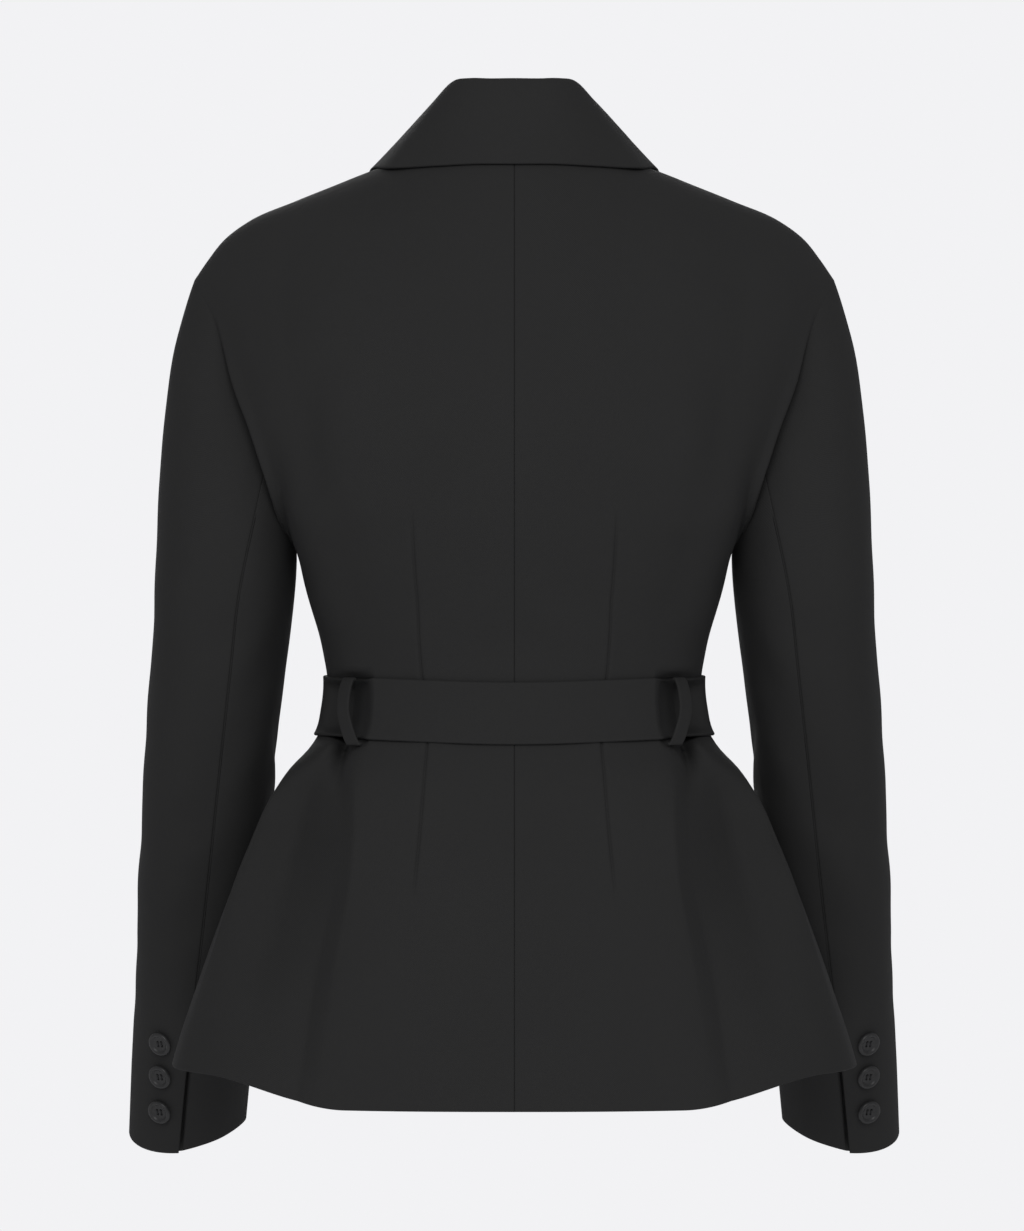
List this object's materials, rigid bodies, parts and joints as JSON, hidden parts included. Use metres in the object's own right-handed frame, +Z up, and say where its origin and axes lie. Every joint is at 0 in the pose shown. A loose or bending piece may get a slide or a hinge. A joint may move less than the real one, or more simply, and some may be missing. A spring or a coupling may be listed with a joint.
{
  "type": "belted jacket",
  "caption": "Fitted long-sleeved jacket with a turned-down collar, a belt held by back loops, a flared skirt with soft folds below the waist, and buttoned cuffs.",
  "frame": {"origin": "on the centre line, midway between the two points where the shoulder seams meet the neck, where the wearer's shoulders hold the jacket up", "axes": "+Z up along the wearer's height, -Y the way the front faces, +X towards the wearer's left"},
  "size_m": [0.5326, 0.3178, 0.7159],
  "materials": {
    "wool": "matt black wool cloth",
    "horn": "dark satin horn-like buttons"
  },
  "bodies": {
    "root": {"back_left": "wool", "back_right": "wool", "front_left": "wool", "front_right": "wool", "collar": "wool", "sleeve_top_left": "wool", "sleeve_top_right": "wool", "sleeve_under_left": "wool", "sleeve_under_right": "wool", "belt": "wool", "belt_loop_left": "wool", "belt_loop_right": "wool", "button_left_1": "horn", "button_left_2": "horn", "button_left_3": "horn", "button_right_1": "horn", "button_right_2": "horn", "button_right_3": "horn"}
  },
  "joints": []
}
